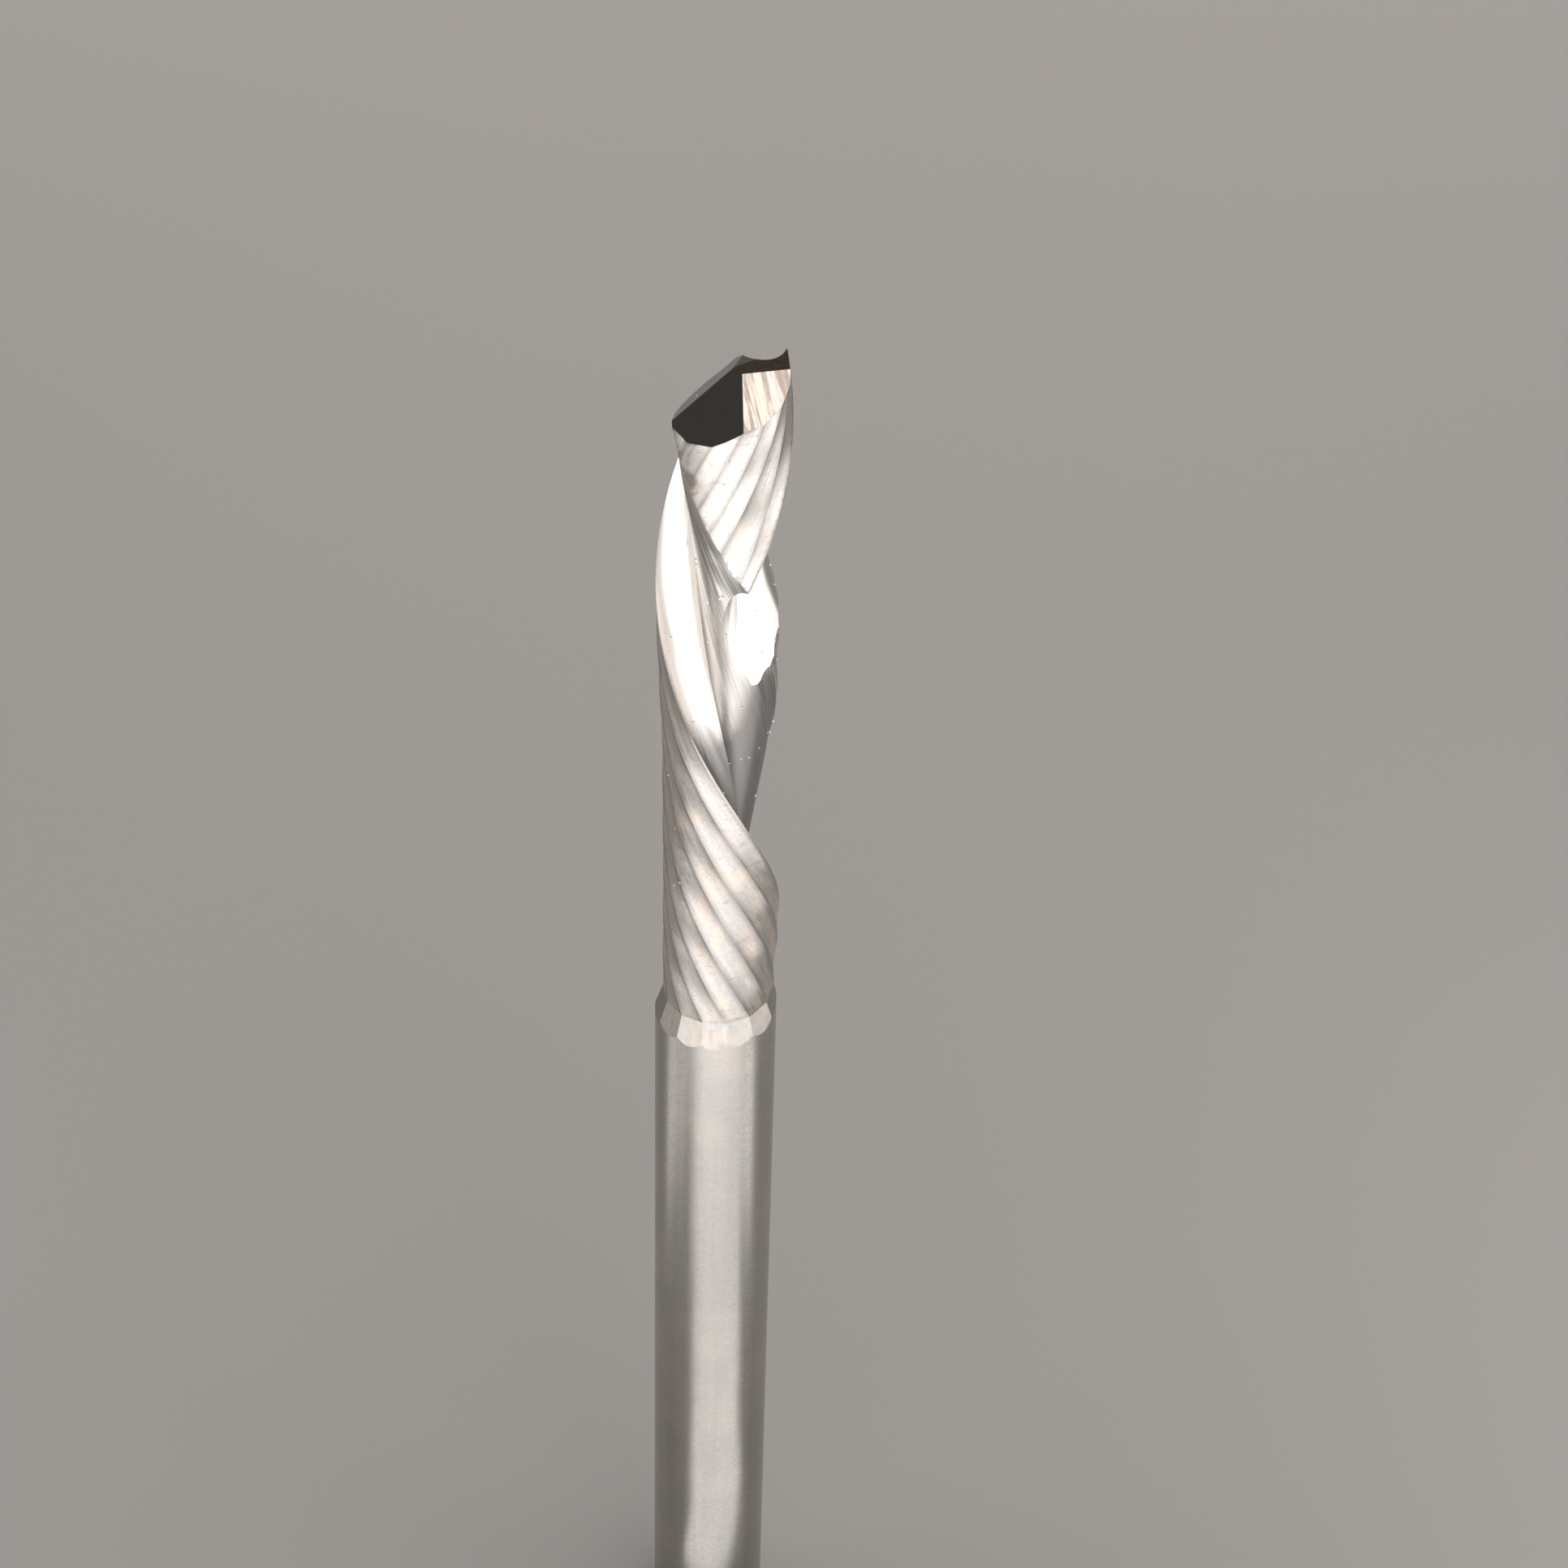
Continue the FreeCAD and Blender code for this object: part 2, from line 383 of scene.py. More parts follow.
def outline_mesh(name, points, lower=None, hands=None):
    """Loop of points that carries, at each point, its lower place and its share of the twist."""
    mesh = bpy.data.meshes.new(name)
    count = len(points)
    mesh.from_pydata(points, [(i, (i + 1) % count) for i in range(count)], [])
    mesh.attributes.new("lower", "FLOAT_VECTOR", "POINT")
    mesh.attributes.new("hand", "FLOAT", "POINT")
    for i in range(count):
        mesh.attributes["lower"].data[i].vector = (lower or points)[i]
        mesh.attributes["hand"].data[i].value = (hands or [0.0] * count)[i]
    return mesh


# Geometry node trees

def new_geometry_tree(name, inputs):
    """An empty tree with named inputs, as a graph and the values of those inputs."""
    tree = bpy.data.node_groups.new(name, "GeometryNodeTree")
    tree.interface.new_socket("Geometry", in_out="INPUT", socket_type="NodeSocketGeometry")
    for label, kind in inputs:
        tree.interface.new_socket(label, in_out="INPUT", socket_type="NodeSocket" + kind)
    tree.interface.new_socket("Geometry", in_out="OUTPUT", socket_type="NodeSocketGeometry")
    graph = Graph(tree)
    entry = graph.node("NodeGroupInput")
    labels = ["Geometry"] + [label for label, _ in inputs]
    return graph, {label: Value(graph, entry.outputs[label]) for label in labels}


def wheel_path_tree():
    """Carries a wheel's outline down the blank on its helix, and out of the blank on an arc."""
    graph, given = new_geometry_tree("wheel_path", [
        ("Lead", "Float"), ("Tip height", "Float"), ("Top", "Float"), ("Depth", "Float"),
        ("Land length", "Float"), ("Run-out length", "Float"), ("Run-out radius", "Float"),
        ("Run-out direction", "Float"), ("Run-out turn", "Float"), ("Azimuth", "Float"),
        ("Sections", "Int"), ("Finish", "Material")])
    outline = given["Geometry"]
    count = graph.out("GeometryNodeAttributeDomainSize", "Point Count", {"component": "MESH"},
                      {"Geometry": outline})
    tube = graph.out("GeometryNodeMeshCylinder", "Mesh", {"fill_type": "NGON"},
                     {"Vertices": count, "Side Segments": given["Sections"],
                      "Radius": 1.0, "Depth": 1.0})
    index = graph.out("GeometryNodeInputIndex", 0)
    around = graph.math("MODULO", index, count)
    place = graph.out("GeometryNodeInputPosition", 0)

    def sampled(value, kind):
        return graph.out("GeometryNodeSampleIndex", 0, {"data_type": kind, "domain": "POINT"},
                         {"Geometry": outline, "Value": value, "Index": around})

    def carried(name, kind):
        named = graph.out("GeometryNodeInputNamedAttribute", 0, {"data_type": kind}, {"Name": name})
        return sampled(named, kind)

    upper = sampled(place, "FLOAT_VECTOR")
    lower = carried("lower", "FLOAT_VECTOR")
    hand = carried("hand", "FLOAT")
    share = 0.5 - graph.parts(place)[2]
    drop = share * (given["Depth"] + given["Run-out length"])
    height = given["Top"] - drop
    below = given["Tip height"] - height
    fall = graph.math("MAXIMUM", drop - given["Depth"], 0.0)
    part_out = fall / graph.math("MAXIMUM", given["Run-out length"], 0.001)
    away = fall * fall / (given["Run-out radius"] * 2.0)
    direction = given["Run-out direction"]
    shift = graph.joined(away * graph.math("COSINE", direction),
                         away * graph.math("SINE", direction), 0.0)
    toward_lower = graph.clamp(below / given["Land length"])
    change = graph.out("ShaderNodeVectorMath", 0, {"operation": "SCALE"},
                       {0: graph.vector("SUBTRACT", lower, upper), "Scale": toward_lower})
    section = graph.vector("ADD", graph.vector("ADD", upper, change), shift)
    angle = (given["Azimuth"] - hand * below * (2 * math.pi) / given["Lead"]
             + given["Run-out turn"] * part_out * part_out)
    lifted = graph.vector("ADD", graph.turned(section, angle), graph.joined(0.0, 0.0, height))
    swept = graph.out("GeometryNodeSetPosition", 0, None, {"Geometry": tube, "Position": lifted})
    solid = graph.out("GeometryNodeRealizeInstances", 0, None, {"Geometry": swept})
    faced = graph.out("GeometryNodeSetMaterial", 0, None,
                      {"Geometry": solid, "Material": given["Finish"]})
    graph.node("NodeGroupOutput", None, {0: faced})
    return graph.tree


def grinding_tree():
    """Takes every wheel's sweep off the blank, in the order in which the bit is ground."""
    wheels = ["Down-cut land", "Up-cut land", "Front guard", "Back guard", "Down-cut flute",
              "Up-cut flute", "Land run-out", "End relief", "End clearance", "Front gash",
              "Back gash"]
    graph, given = new_geometry_tree("bit_grinding",
                                     [(w, "Object") for w in wheels] + [("Scale", "Float")])
    solids = {w: graph.out("GeometryNodeObjectInfo", "Geometry", {"transform_space": "ORIGINAL"},
                           {"Object": given[w]}) for w in wheels}

    def less(body, tool):
        """A body without the solid of a tool; every cut face keeps that tool's finish."""
        return graph.out("GeometryNodeMeshBoolean", "Mesh",
                         {"operation": "DIFFERENCE", "solver": "MANIFOLD"},
                         {"Mesh 1": body, "Mesh 2": tool})

    body = less(given["Geometry"], less(solids["Down-cut land"], solids["Front guard"]))
    body = less(body, less(solids["Up-cut land"], solids["Back guard"]))
    for cut in ("Down-cut flute", "Up-cut flute", "End relief", "End clearance", "Front gash",
                "Back gash", "Land run-out"):
        body = less(body, solids[cut])
    size = graph.joined(given["Scale"], given["Scale"], given["Scale"])
    metric = graph.out("GeometryNodeTransform", 0, None, {"Geometry": body, "Scale": size})
    solid = graph.out("GeometryNodeRealizeInstances", 0, None, {"Geometry": metric})
    bend = graph.out("GeometryNodeInputMeshEdgeAngle", "Unsigned Angle")
    first, full = (math.radians(angle) for angle in WEAR_ANGLES)
    worn = graph.out("GeometryNodeStoreNamedAttribute", 0,
                     {"data_type": "FLOAT", "domain": "EDGE"},
                     {"Geometry": solid, "Name": "edge_wear",
                      "Value": graph.clamp((bend - first) / (full - first))})
    graph.node("NodeGroupOutput", None, {0: worn})
    return graph.tree


def dust_tree():
    """Scatters small uneven grains over the hollow parts of the bit."""
    graph, given = new_geometry_tree("dust", [
        ("Density", "Float"), ("Grain", "Float"), ("Reach", "Float"), ("Bottom", "Float"),
        ("Top", "Float"), ("Seed", "Int"), ("Finish", "Material")])
    x, y, z = graph.parts(graph.out("GeometryNodeInputPosition", 0))
    hollow = graph.math("LESS_THAN", graph.math("SQRT", x * x + y * y), given["Reach"])
    above = graph.math("GREATER_THAN", z, given["Bottom"])
    below = graph.math("LESS_THAN", z, given["Top"])
    points = graph.out("GeometryNodeDistributePointsOnFaces", "Points",
                       {"distribute_method": "RANDOM"},
                       {"Mesh": given["Geometry"], "Selection": hollow * above * below,
                        "Density": given["Density"], "Seed": given["Seed"]})
    grain = graph.out("GeometryNodeMeshIcoSphere", "Mesh", None,
                      {"Radius": given["Grain"], "Subdivisions": 1})
    uneven = graph.out("FunctionNodeRandomValue", 0, {"data_type": "FLOAT_VECTOR"},
                       {"Min": GRAIN_SCALES[0], "Max": GRAIN_SCALES[1], "Seed": given["Seed"]})
    grains = graph.out("GeometryNodeInstanceOnPoints", 0, None,
                       {"Points": points, "Instance": grain, "Scale": uneven})
    solid = graph.out("GeometryNodeRealizeInstances", 0, None, {"Geometry": grains})
    faced = graph.out("GeometryNodeSetMaterial", 0, None,
                      {"Geometry": solid, "Material": given["Finish"]})
    graph.node("NodeGroupOutput", None, {0: faced})
    return graph.tree


def linked(name, data):
    """A new object in the scene, made of a mesh, lamp or camera."""
    made = bpy.data.objects.new(name, data)
    bpy.context.scene.collection.objects.link(made)
    return made


def tree_result(name, mesh, tree, values):
    """Runs a tree on a mesh and gives back the plain mesh that it makes."""
    holder = linked(name, mesh)
    modifier = holder.modifiers.new("tree", "NODES")
    modifier.node_group = tree
    for item in tree.interface.items_tree:
        if item.in_out == "INPUT" and item.name in values:
            modifier[item.identifier] = values[item.name]
    depsgraph = bpy.context.evaluated_depsgraph_get()
    depsgraph.update()
    made = bpy.data.meshes.new_from_object(holder.evaluated_get(depsgraph))
    made.name = name
    if made.materials and made.materials[0] is None:
        made.materials.pop(index=0)
    bpy.data.objects.remove(holder)
    if not mesh.users:
        bpy.data.meshes.remove(mesh)
    return made


# Marks on the ground faces

# Noise features per millimetre along each axis, the limits between which a mark fades in, and
# the detail and roughness of the noise
STREAK_NOISE = (3.0, 0.6)
STREAK_LIMITS = (0.35, 0.65)
CRUMB_NOISE = (15.0, 3.0, 0.7)           # here the features per millimetre, detail and roughness
CRUMB_LIMITS = (0.36, 0.66)
WARM_PATCHES = ((1.7, 1.7, 1.19), (0.46, 0.74), 3.0, 0.6)
ROSY_PATCHES = ((1.7, 1.7, 1.7), (0.52, 0.68), 2.0, 0.5)
SCRATCHES = ((2.4, 2.4, 8.0), (0.62, 0.70), 2.0, 0.5)
CORE_STRIPES = ((20.0, 20.0, 0.25), (0.44, 0.60), 2.0, 0.6)
HEEL_STRIPES = ((24.0, 24.0, 0.5), (0.42, 0.60), 2.0, 0.6)
HOOK_BRUSHING = ((7.0, 7.0, 0.8), (0.56, 0.68), 3.0, 0.6)
TAN_DABS = ((9.0, 9.0, 1.6), (0.60, 0.66), 3.0, 0.6)
FAINT_BRUSHING = ((7.0, 7.0, 0.8), (0.60, 0.72), 3.0, 0.6)
RING_FILM = ((1.9, 1.9, 1.9), (0.46, 0.62), 3.0, 0.6)
RING_LINES = ((6.0, 6.0, 1.0), (0.60, 0.68), 3.0, 0.6)
BROWN_STREAKS = ((0.7, 7.0, 0.7), (0.44, 0.60), 4.0, 0.65)
ROSY_STREAKS = ((0.5, 4.0, 0.5), (0.44, 0.60), 3.0, 0.6)
SPECKS = ((9.0, 9.0, 9.0), (0.68, 0.73), 2.0, 0.5)
SHANK_BANDS = ((3.2, 3.2, 0.10), (0.38, 0.62), 2.0, 0.5)
SHANK_FILM = ((0.5, 0.5, 0.5), (0.45, 0.65), 2.0, 0.5)

# Where the marks lie, in millimetres: heights are above the shank's end
ROSY_SHIFT = (7.0, 3.0, 1.0)             # keeps the rosy film off the warm one
WORN_ABOVE = (25.2, 25.7)                # the pale ring below keeps clean edges
SMEAR = (-0.76, -1.16, 42.62)            # burnt resin beside the up-cut edge
SMEAR_REACH = (0.13, 0.30)
CORE_SPAN = (math.radians(12), math.radians(28))             # angles about the axis, and below too
HEEL_SPAN = (math.radians(72), math.radians(92))
HOOK_SPAN = (math.radians(2), math.radians(20))
STRIPES_ABOVE = (35.0, 37.5)
DABS_ABOVE = (38.2, 39.6)
# Painted shade on the down-cut flute: below these heights and to the right of the axis, its colour
# is darkened to a dull groove tint and its roughness is raised a little
HAZE_AND_PAINTED_SHADE_BELOW = (33.6, 34.9)
HAZE_AND_PAINTED_SHADE_SLOPE, HAZE_AND_PAINTED_SHADE_RAGGED = 0.5, 0.5
SIDE_HAZE_AND_PAINTED_SHADE_BELOW = (36.3, 37.5)
SIDE_HAZE_AND_PAINTED_SHADE_BESIDE = (0.35, 0.95)          # distance to the right of the axis, at the next height
SIDE_HAZE_AND_PAINTED_SHADE_HEIGHT, SIDE_HAZE_AND_PAINTED_SHADE_SLOPE = 36.0, 0.25

STREAK_SHARE = 0.14                      # how strongly the streaks tint a face
UNEVENNESS = 0.25                        # how far the roughness follows streaks and grain
BUMP_HEIGHT = 0.000003                   # in metres


def new_material(name):
    """An empty material and the graph that fills it."""
    material = bpy.data.materials.new(name)
    material.use_nodes = True
    material.node_tree.nodes.clear()
    return material, Graph(material.node_tree)


def surfaced(graph, sockets):
    """Ends a material's graph in one surface."""
    surface = graph.out("ShaderNodeBsdfPrincipled", 0, None, sockets)
    graph.node("ShaderNodeOutputMaterial", None, {"Surface": surface})


def ground_carbide(name, finish, roughness, marks, streak, grain, relief, spiral, base):
    """Carbide with grinding streaks along a helix, or along the axis, and marks laid over it."""
    material, graph = new_material(name)
    metres = graph.out("ShaderNodeTexCoord", "Object")
    place = graph.scaled(metres, (MILLIMETRES, MILLIMETRES, MILLIMETRES))
    section = place
    if spiral:
        hand, azimuth, lead, tip = spiral
        twist = (graph.parts(place)[2] - tip) * (-hand * 2 * math.pi / lead)
        section = graph.turned(place, twist - azimuth)
    across, along = streak
    lines = graph.noise(graph.scaled(section, (across, across, along)), 1.0, *STREAK_NOISE)
    lined = graph.between(lines, *STREAK_LIMITS)
    crumbs = graph.noise(place, *CRUMB_NOISE)
    crumbled = graph.between(crumbs, *CRUMB_LIMITS)
    colour = graph.mixed(lined * STREAK_SHARE, opaque(base), opaque(finish.groove))
    colour = graph.mixed(crumbled * grain, colour, opaque(finish.groove))
    layers, dulled = marks(graph, finish, place, section)
    for share, tint in layers:
        colour = graph.mixed(share, colour, opaque(tint))
    rough = (dulled + roughness + (lined - 0.5) * (UNEVENNESS * relief)
             + (crumbled - 0.5) * (UNEVENNESS * grain))
    bump = graph.out("ShaderNodeBump", 0, None,
                     {"Strength": relief, "Distance": BUMP_HEIGHT,
                      "Height": lines + crumbs * (2.0 * grain)})
    surfaced(graph, {"Base Color": colour, "Metallic": 1.0, "Roughness": graph.clamp(rough),
                     "Normal": bump})
    return material


# Each of these gives the layers of its marks, as shares and tints, and how much they dull a face

def facet_marks(graph, finish, place, section):
    """Warm and rosy film in patches, short scratches across, a smear of resin, worn ridges."""
    warm = graph.patches(place, WARM_PATCHES)
    rosy = graph.patches(graph.vector("ADD", place, ROSY_SHIFT), ROSY_PATCHES)
    scratch = graph.patches(section, SCRATCHES)
    smear = 1.0 - graph.between(graph.vector("DISTANCE", place, SMEAR, output=1), *SMEAR_REACH)
    wear = graph.out("ShaderNodeAttribute", "Fac", {"attribute_name": "edge_wear"})
    wear = wear * graph.between(graph.parts(place)[2], *WORN_ABOVE)
    return [(warm * 0.70, finish.warm_film), (rosy * 0.40, finish.rose_film),
            (scratch * 0.30, finish.brown_stain), (smear * 0.85, shaded(finish.brown_stain, 0.6)),
            (wear * 0.9, shaded(finish.groove, 0.7))], 0.0


def flute_marks(graph, finish, place, section):
    """Stripes down heel flat and core, brushed tan marks in the hook, and painted shade over the
    lower part, which is darkened there and made a little rougher.
    """
    u, v, z = graph.parts(section)
    x = graph.parts(place)[0]
    angle = graph.math("ARCTAN2", v, u)
    heel = graph.between(angle, *HEEL_SPAN)
    heel_stripes = heel * graph.patches(section, HEEL_STRIPES)
    core = graph.between(angle, *CORE_SPAN) * graph.between(z, *STRIPES_ABOVE)
    core_stripes = core * graph.patches(section, CORE_STRIPES)
    hook = 1.0 - graph.between(angle, *HOOK_SPAN)
    brushed = graph.patches(section, HOOK_BRUSHING)
    tan = graph.patches(section, TAN_DABS) * hook * graph.between(z, *DABS_ABOVE)
    # Painted shade: the mask of the darker lower part and right side of the flute, with a ragged
    # edge
    beside = x - (z - SIDE_HAZE_AND_PAINTED_SHADE_HEIGHT) * SIDE_HAZE_AND_PAINTED_SHADE_SLOPE
    side_haze_and_painted_shade = (graph.between(beside, *SIDE_HAZE_AND_PAINTED_SHADE_BESIDE)
                 * (1.0 - graph.between(z, *SIDE_HAZE_AND_PAINTED_SHADE_BELOW)))
    edge = z + x * HAZE_AND_PAINTED_SHADE_SLOPE + (brushed - 0.5) * HAZE_AND_PAINTED_SHADE_RAGGED
    haze_and_painted_shade = graph.clamp(side_haze_and_painted_shade + (1.0 - graph.between(edge, *HAZE_AND_PAINTED_SHADE_BELOW)))
    # The last layer is painted shade, the dark groove tint laid over that mask; the same mask
    # raises the roughness
    return [(heel * 0.8, finish.dust), (heel_stripes * 0.60, finish.groove),
            (core_stripes * 0.6, finish.groove), (hook * brushed * 0.35, finish.warm_film),
            (tan * 0.7, shaded(finish.brown_stain, 1.5)),
            (haze_and_painted_shade * 0.85, shaded(finish.groove, 0.66))], haze_and_painted_shade * 0.12


def hollow_marks(graph, finish, place, section):
    """Only a few brushed lines."""
    return [(graph.patches(section, FAINT_BRUSHING) * 0.15, finish.warm_film)], 0.0


def ring_marks(graph, finish, place, section):
    """Thin brown lines where the wheel left the blank, and a little film."""
    return [(graph.patches(place, RING_FILM) * 0.5, shaded(finish.warm_film, 0.62)),
            (graph.patches(place, RING_LINES) * 0.45, finish.brown_stain)], 0.0


def end_marks(graph, finish, place, section):
    """Brown and rosy streaks that run down the clearance face."""
    down = graph.turned(place, math.radians(-END_FACES["end_clearance"][1]))
    brown = graph.patches(down, BROWN_STREAKS)
    rosy = graph.patches(down, ROSY_STREAKS)
    return [(rosy * 0.7, finish.warm_film), (brown * 0.8, finish.brown_stain)], brown * 0.1


def gash_marks(graph, finish, place, section):
    """A few dull specks."""
    return [(graph.patches(place, SPECKS) * 0.25, finish.carbide)], 0.0


def shank_marks(graph, finish, place, section):
    """Faint bands along the axis and a breath of the warm film."""
    return [(graph.patches(place, SHANK_BANDS) * 0.16, finish.groove),
            (graph.patches(place, SHANK_FILM) * 0.15, finish.warm_film)], 0.0


# What each cut leaves behind: material, roughness setting, marks, streaks per millimetre across
# and along, grain, relief, spiral that the streaks follow, base colour setting and its shade. That
# shade is painted light and shade: the same carbide is made lighter on the facets, flutes and
# clearance face and darker on the run-out ring, and the back gash takes a darker groove tint
LOOKS = {
    "shank": ("centreless_ground_shank", "shank_roughness", shank_marks,
              (5.0, 9.0), 0.22, 0.06, None, "carbide", 1.0),
    "down_land": ("down_cut_land_facets", "land_roughness", facet_marks,
                  (9.0, 1.2), 0.30, 0.5, "down_cut", "carbide", 1.28),
    "up_land": ("up_cut_land_facets", "land_roughness", facet_marks,
                (9.0, 1.2), 0.25, 0.4, "up_cut", "carbide", 1.18),
    "down_flute": ("down_cut_flute", "flute_roughness", flute_marks,
                   (14.0, 0.35), 0.04, 0.35, "down_cut", "carbide", 1.42),
    "up_flute": ("up_cut_flute", "flute_roughness", hollow_marks,
                 (14.0, 0.35), 0.02, 0.15, "up_cut", "carbide", 1.42),
    "run_out": ("land_run_out", "land_roughness", ring_marks,
                (6.0, 1.2), 0.20, 0.3, None, "carbide", 0.80),
    "clearance": ("end_clearance_face", "end_roughness", end_marks,
                  (9.0, 1.2), 0.15, 0.3, None, "carbide", 1.28),
    "relief": ("end_relief_face", "end_roughness", gash_marks,
               (9.0, 1.2), 0.05, 0.1, None, "brown_stain", 1.0),
    "front_gash": ("front_gash_face", "end_roughness", gash_marks,
                   (4.0, 1.0), 0.0, 0.0, None, "carbide", 1.0),
    # Painted shade: the back gash is coloured with the groove tint at 0.7, far darker than bare
    # carbide
    "back_gash": ("back_gash_face", "end_roughness", gash_marks,
                  (4.0, 1.0), 0.05, 0.1, None, "groove", 0.7),
}


def bit_looks(sizes, finish):
    """The material of every cut."""
    lead, tip = MILLIMETRES * sizes.lead, MILLIMETRES * sizes.overall_length
    spirals = {None: None, "up_cut": (1, sizes.up_cut_azimuth, lead, tip),
               "down_cut": (-1, sizes.down_cut_azimuth, lead, tip)}
    looks = {}
    # Each face's shade multiplies its base colour, which paints light or shade into it
    for key, (name, rough, marks, streak, grain, relief, spiral, base, shade) in LOOKS.items():
        looks[key] = ground_carbide(name, finish, getattr(finish, rough), marks, streak, grain,
                                    relief, spirals[spiral], shaded(getattr(finish, base), shade))
    return looks


# The bit and its dust

def block_beyond(name, tip, look):
    """A block that starts at an end face's plane and reaches away from the bit."""
    slope, azimuth, height = END_FACES[name]
    normal = at(math.sin(math.radians(slope)), azimuth, math.cos(math.radians(slope)))
    turn = Vector((0, 0, 1)).rotation_difference(normal).to_matrix()
    wide = (-BLOCK_SIZE, BLOCK_SIZE)
    corners = [Vector((x, y, z)) for z in (0, BLOCK_SIZE) for y in wide for x in wide]
    points = [turn @ c + Vector((0, 0, tip + height)) for c in corners]
    faces = [(0, 2, 3, 1), (4, 5, 7, 6), (0, 1, 5, 4), (2, 6, 7, 3), (0, 4, 6, 2), (1, 3, 7, 5)]
    mesh = bpy.data.meshes.new(name)
    mesh.from_pydata(points, [], faces)
    mesh.materials.append(look)
    return linked(name, mesh)


def turned_blank(rings, look):
    """Round rod through (radius, height) rings, from the shank's end to the tip."""
    around = BLANK_SIDES
    points = [at(r, 360.0 * i / around, z) for r, z in rings for i in range(around)]
    faces = []
    for ring in range(0, (len(rings) - 1) * around, around):
        for i in range(around):
            j = (i + 1) % around
            faces.append((ring + i, ring + j, ring + around + j, ring + around + i))
    faces.append(tuple(reversed(range(around))))
    faces.append(tuple(range((len(rings) - 1) * around, len(rings) * around)))
    mesh = bpy.data.meshes.new("blank")
    mesh.from_pydata(points, [], faces)
    mesh.materials.append(look)
    return mesh


def bit_wheels(sizes, looks):
    """The solid that each wheel's sweep removes, by the name of its input in the grinding tree."""
    radius = sizes.cutting_diameter / 2 * MILLIMETRES
    tip, lead = sizes.overall_length * MILLIMETRES, sizes.lead * MILLIMETRES
    land = sizes.land_length * MILLIMETRES
    up_az, down_az = math.degrees(sizes.up_cut_azimuth), math.degrees(sizes.down_cut_azimuth)
    path = wheel_path_tree()
    common = {"Lead": lead, "Tip height": tip, "Land length": land, "Run-out length": 0.0,
              "Run-out radius": 1.0, "Run-out direction": 0.0, "Run-out turn": 0.0}

    def wheel(name, mesh, azimuth, depth, look, top=tip + OVERRUN, **more):
        length = depth + more.get("Run-out length", 0.0)
        values = {**common, "Azimuth": math.radians(azimuth), "Depth": depth, "Top": top,
                  "Sections": max(1, round(length / SECTION_STEP)), "Finish": looks[look], **more}
        return linked(name, tree_result(name, mesh, path, values))

    def flute(name, azimuth, hand, length, runout, look):
        arc, direction, turn = runout
        outline = flute_outline(radius)
        mesh = outline_mesh(name, outline, None, [hand] * len(outline))
        return wheel(name, mesh, azimuth, length + OVERRUN, look,
                     **{"Run-out length": math.sqrt(2 * arc * RUNOUT_LIFT * radius),
                        "Run-out radius": arc, "Run-out direction": math.radians(direction),
                        "Run-out turn": math.radians(turn)})

    def guard(name, first, first_hand, second, second_hand, depth):
        """Everything from one flute's middle to the other's, to keep facets off a land."""
        shares = [i / (GUARD_POINTS - 1) for i in range(GUARD_POINTS)]
        rim = [at(GUARD_REACH * radius, first + (second - first) * share) for share in shares]
        hands = [first_hand + (second_hand - first_hand) * share for share in shares]
        mesh = outline_mesh(name, [Vector((0, 0, 0))] + rim, None, [first_hand] + hands)
        return wheel(name, mesh, 0.0, depth + 2 * OVERRUN, "up_land", top=tip + 2 * OVERRUN)

    down_outline = land_outline(radius, DOWN_CUT_RIDGES)
    up_outline = land_outline(radius, UP_CUT_PRIMARY[:1] + UP_CUT_RIDGES)
    up_lower = land_outline(radius, UP_CUT_PRIMARY[1:] + UP_CUT_RIDGES)
    widening = LAND_RUNOUT_LENGTH * math.tan(math.radians(LAND_RUNOUT_ANGLE))
    grown = land_outline(radius, DOWN_CUT_RIDGES, 1 + widening / DOWN_CUT_RIDGES[-1][1])
    up_middle, down_middle = up_az + UP_FLUTE_MIDDLE, down_az + DOWN_FLUTE_MIDDLE
    land_foot = down_az + 360 / lead * land
    down_mesh = outline_mesh("down_cut_land", down_outline, None, [-1.0] * len(down_outline))
    up_mesh = outline_mesh("up_cut_land", up_outline, up_lower, [1.0] * len(up_outline))
    foot_mesh = outline_mesh("land_runout", down_outline, grown)
    wheels = {
        "Down-cut land": wheel("down_cut_land", down_mesh, down_az, land + OVERRUN, "down_land"),
        "Up-cut land": wheel("up_cut_land", up_mesh, up_az, UP_CUT_LAND_LENGTH + OVERRUN,
                             "up_land", **{"Land length": UP_CUT_LAND_LENGTH}),
        "Front guard": guard("front_guard", down_middle, -1.0, up_middle + 360, 1.0,
                             FRONT_GUARD_LENGTH),
        "Back guard": guard("back_guard", up_middle, 1.0, down_middle, -1.0, BACK_GUARD_LENGTH),
        "Down-cut flute": flute("down_cut_flute", down_az, -1.0,
                                sizes.down_cut_length * MILLIMETRES, DOWN_CUT_RUNOUT,
                                "down_flute"),
        "Up-cut flute": flute("up_cut_flute", up_az, 1.0, sizes.up_cut_length * MILLIMETRES,
                              UP_CUT_RUNOUT, "up_flute"),
        "Land run-out": wheel("land_runout", foot_mesh, land_foot, LAND_RUNOUT_LENGTH, "run_out",
                              top=tip - land,
                              **{"Tip height": tip - land, "Land length": LAND_RUNOUT_LENGTH,
                                 "Sections": 1}),
    }
    for label, face, look in (("End relief", "end_relief", "relief"),
                              ("End clearance", "end_clearance", "clearance"),
                              ("Front gash", "front_gash", "front_gash"),
                              ("Back gash", "back_gash", "back_gash")):
        wheels[label] = block_beyond(face, tip, looks[look])
    return wheels


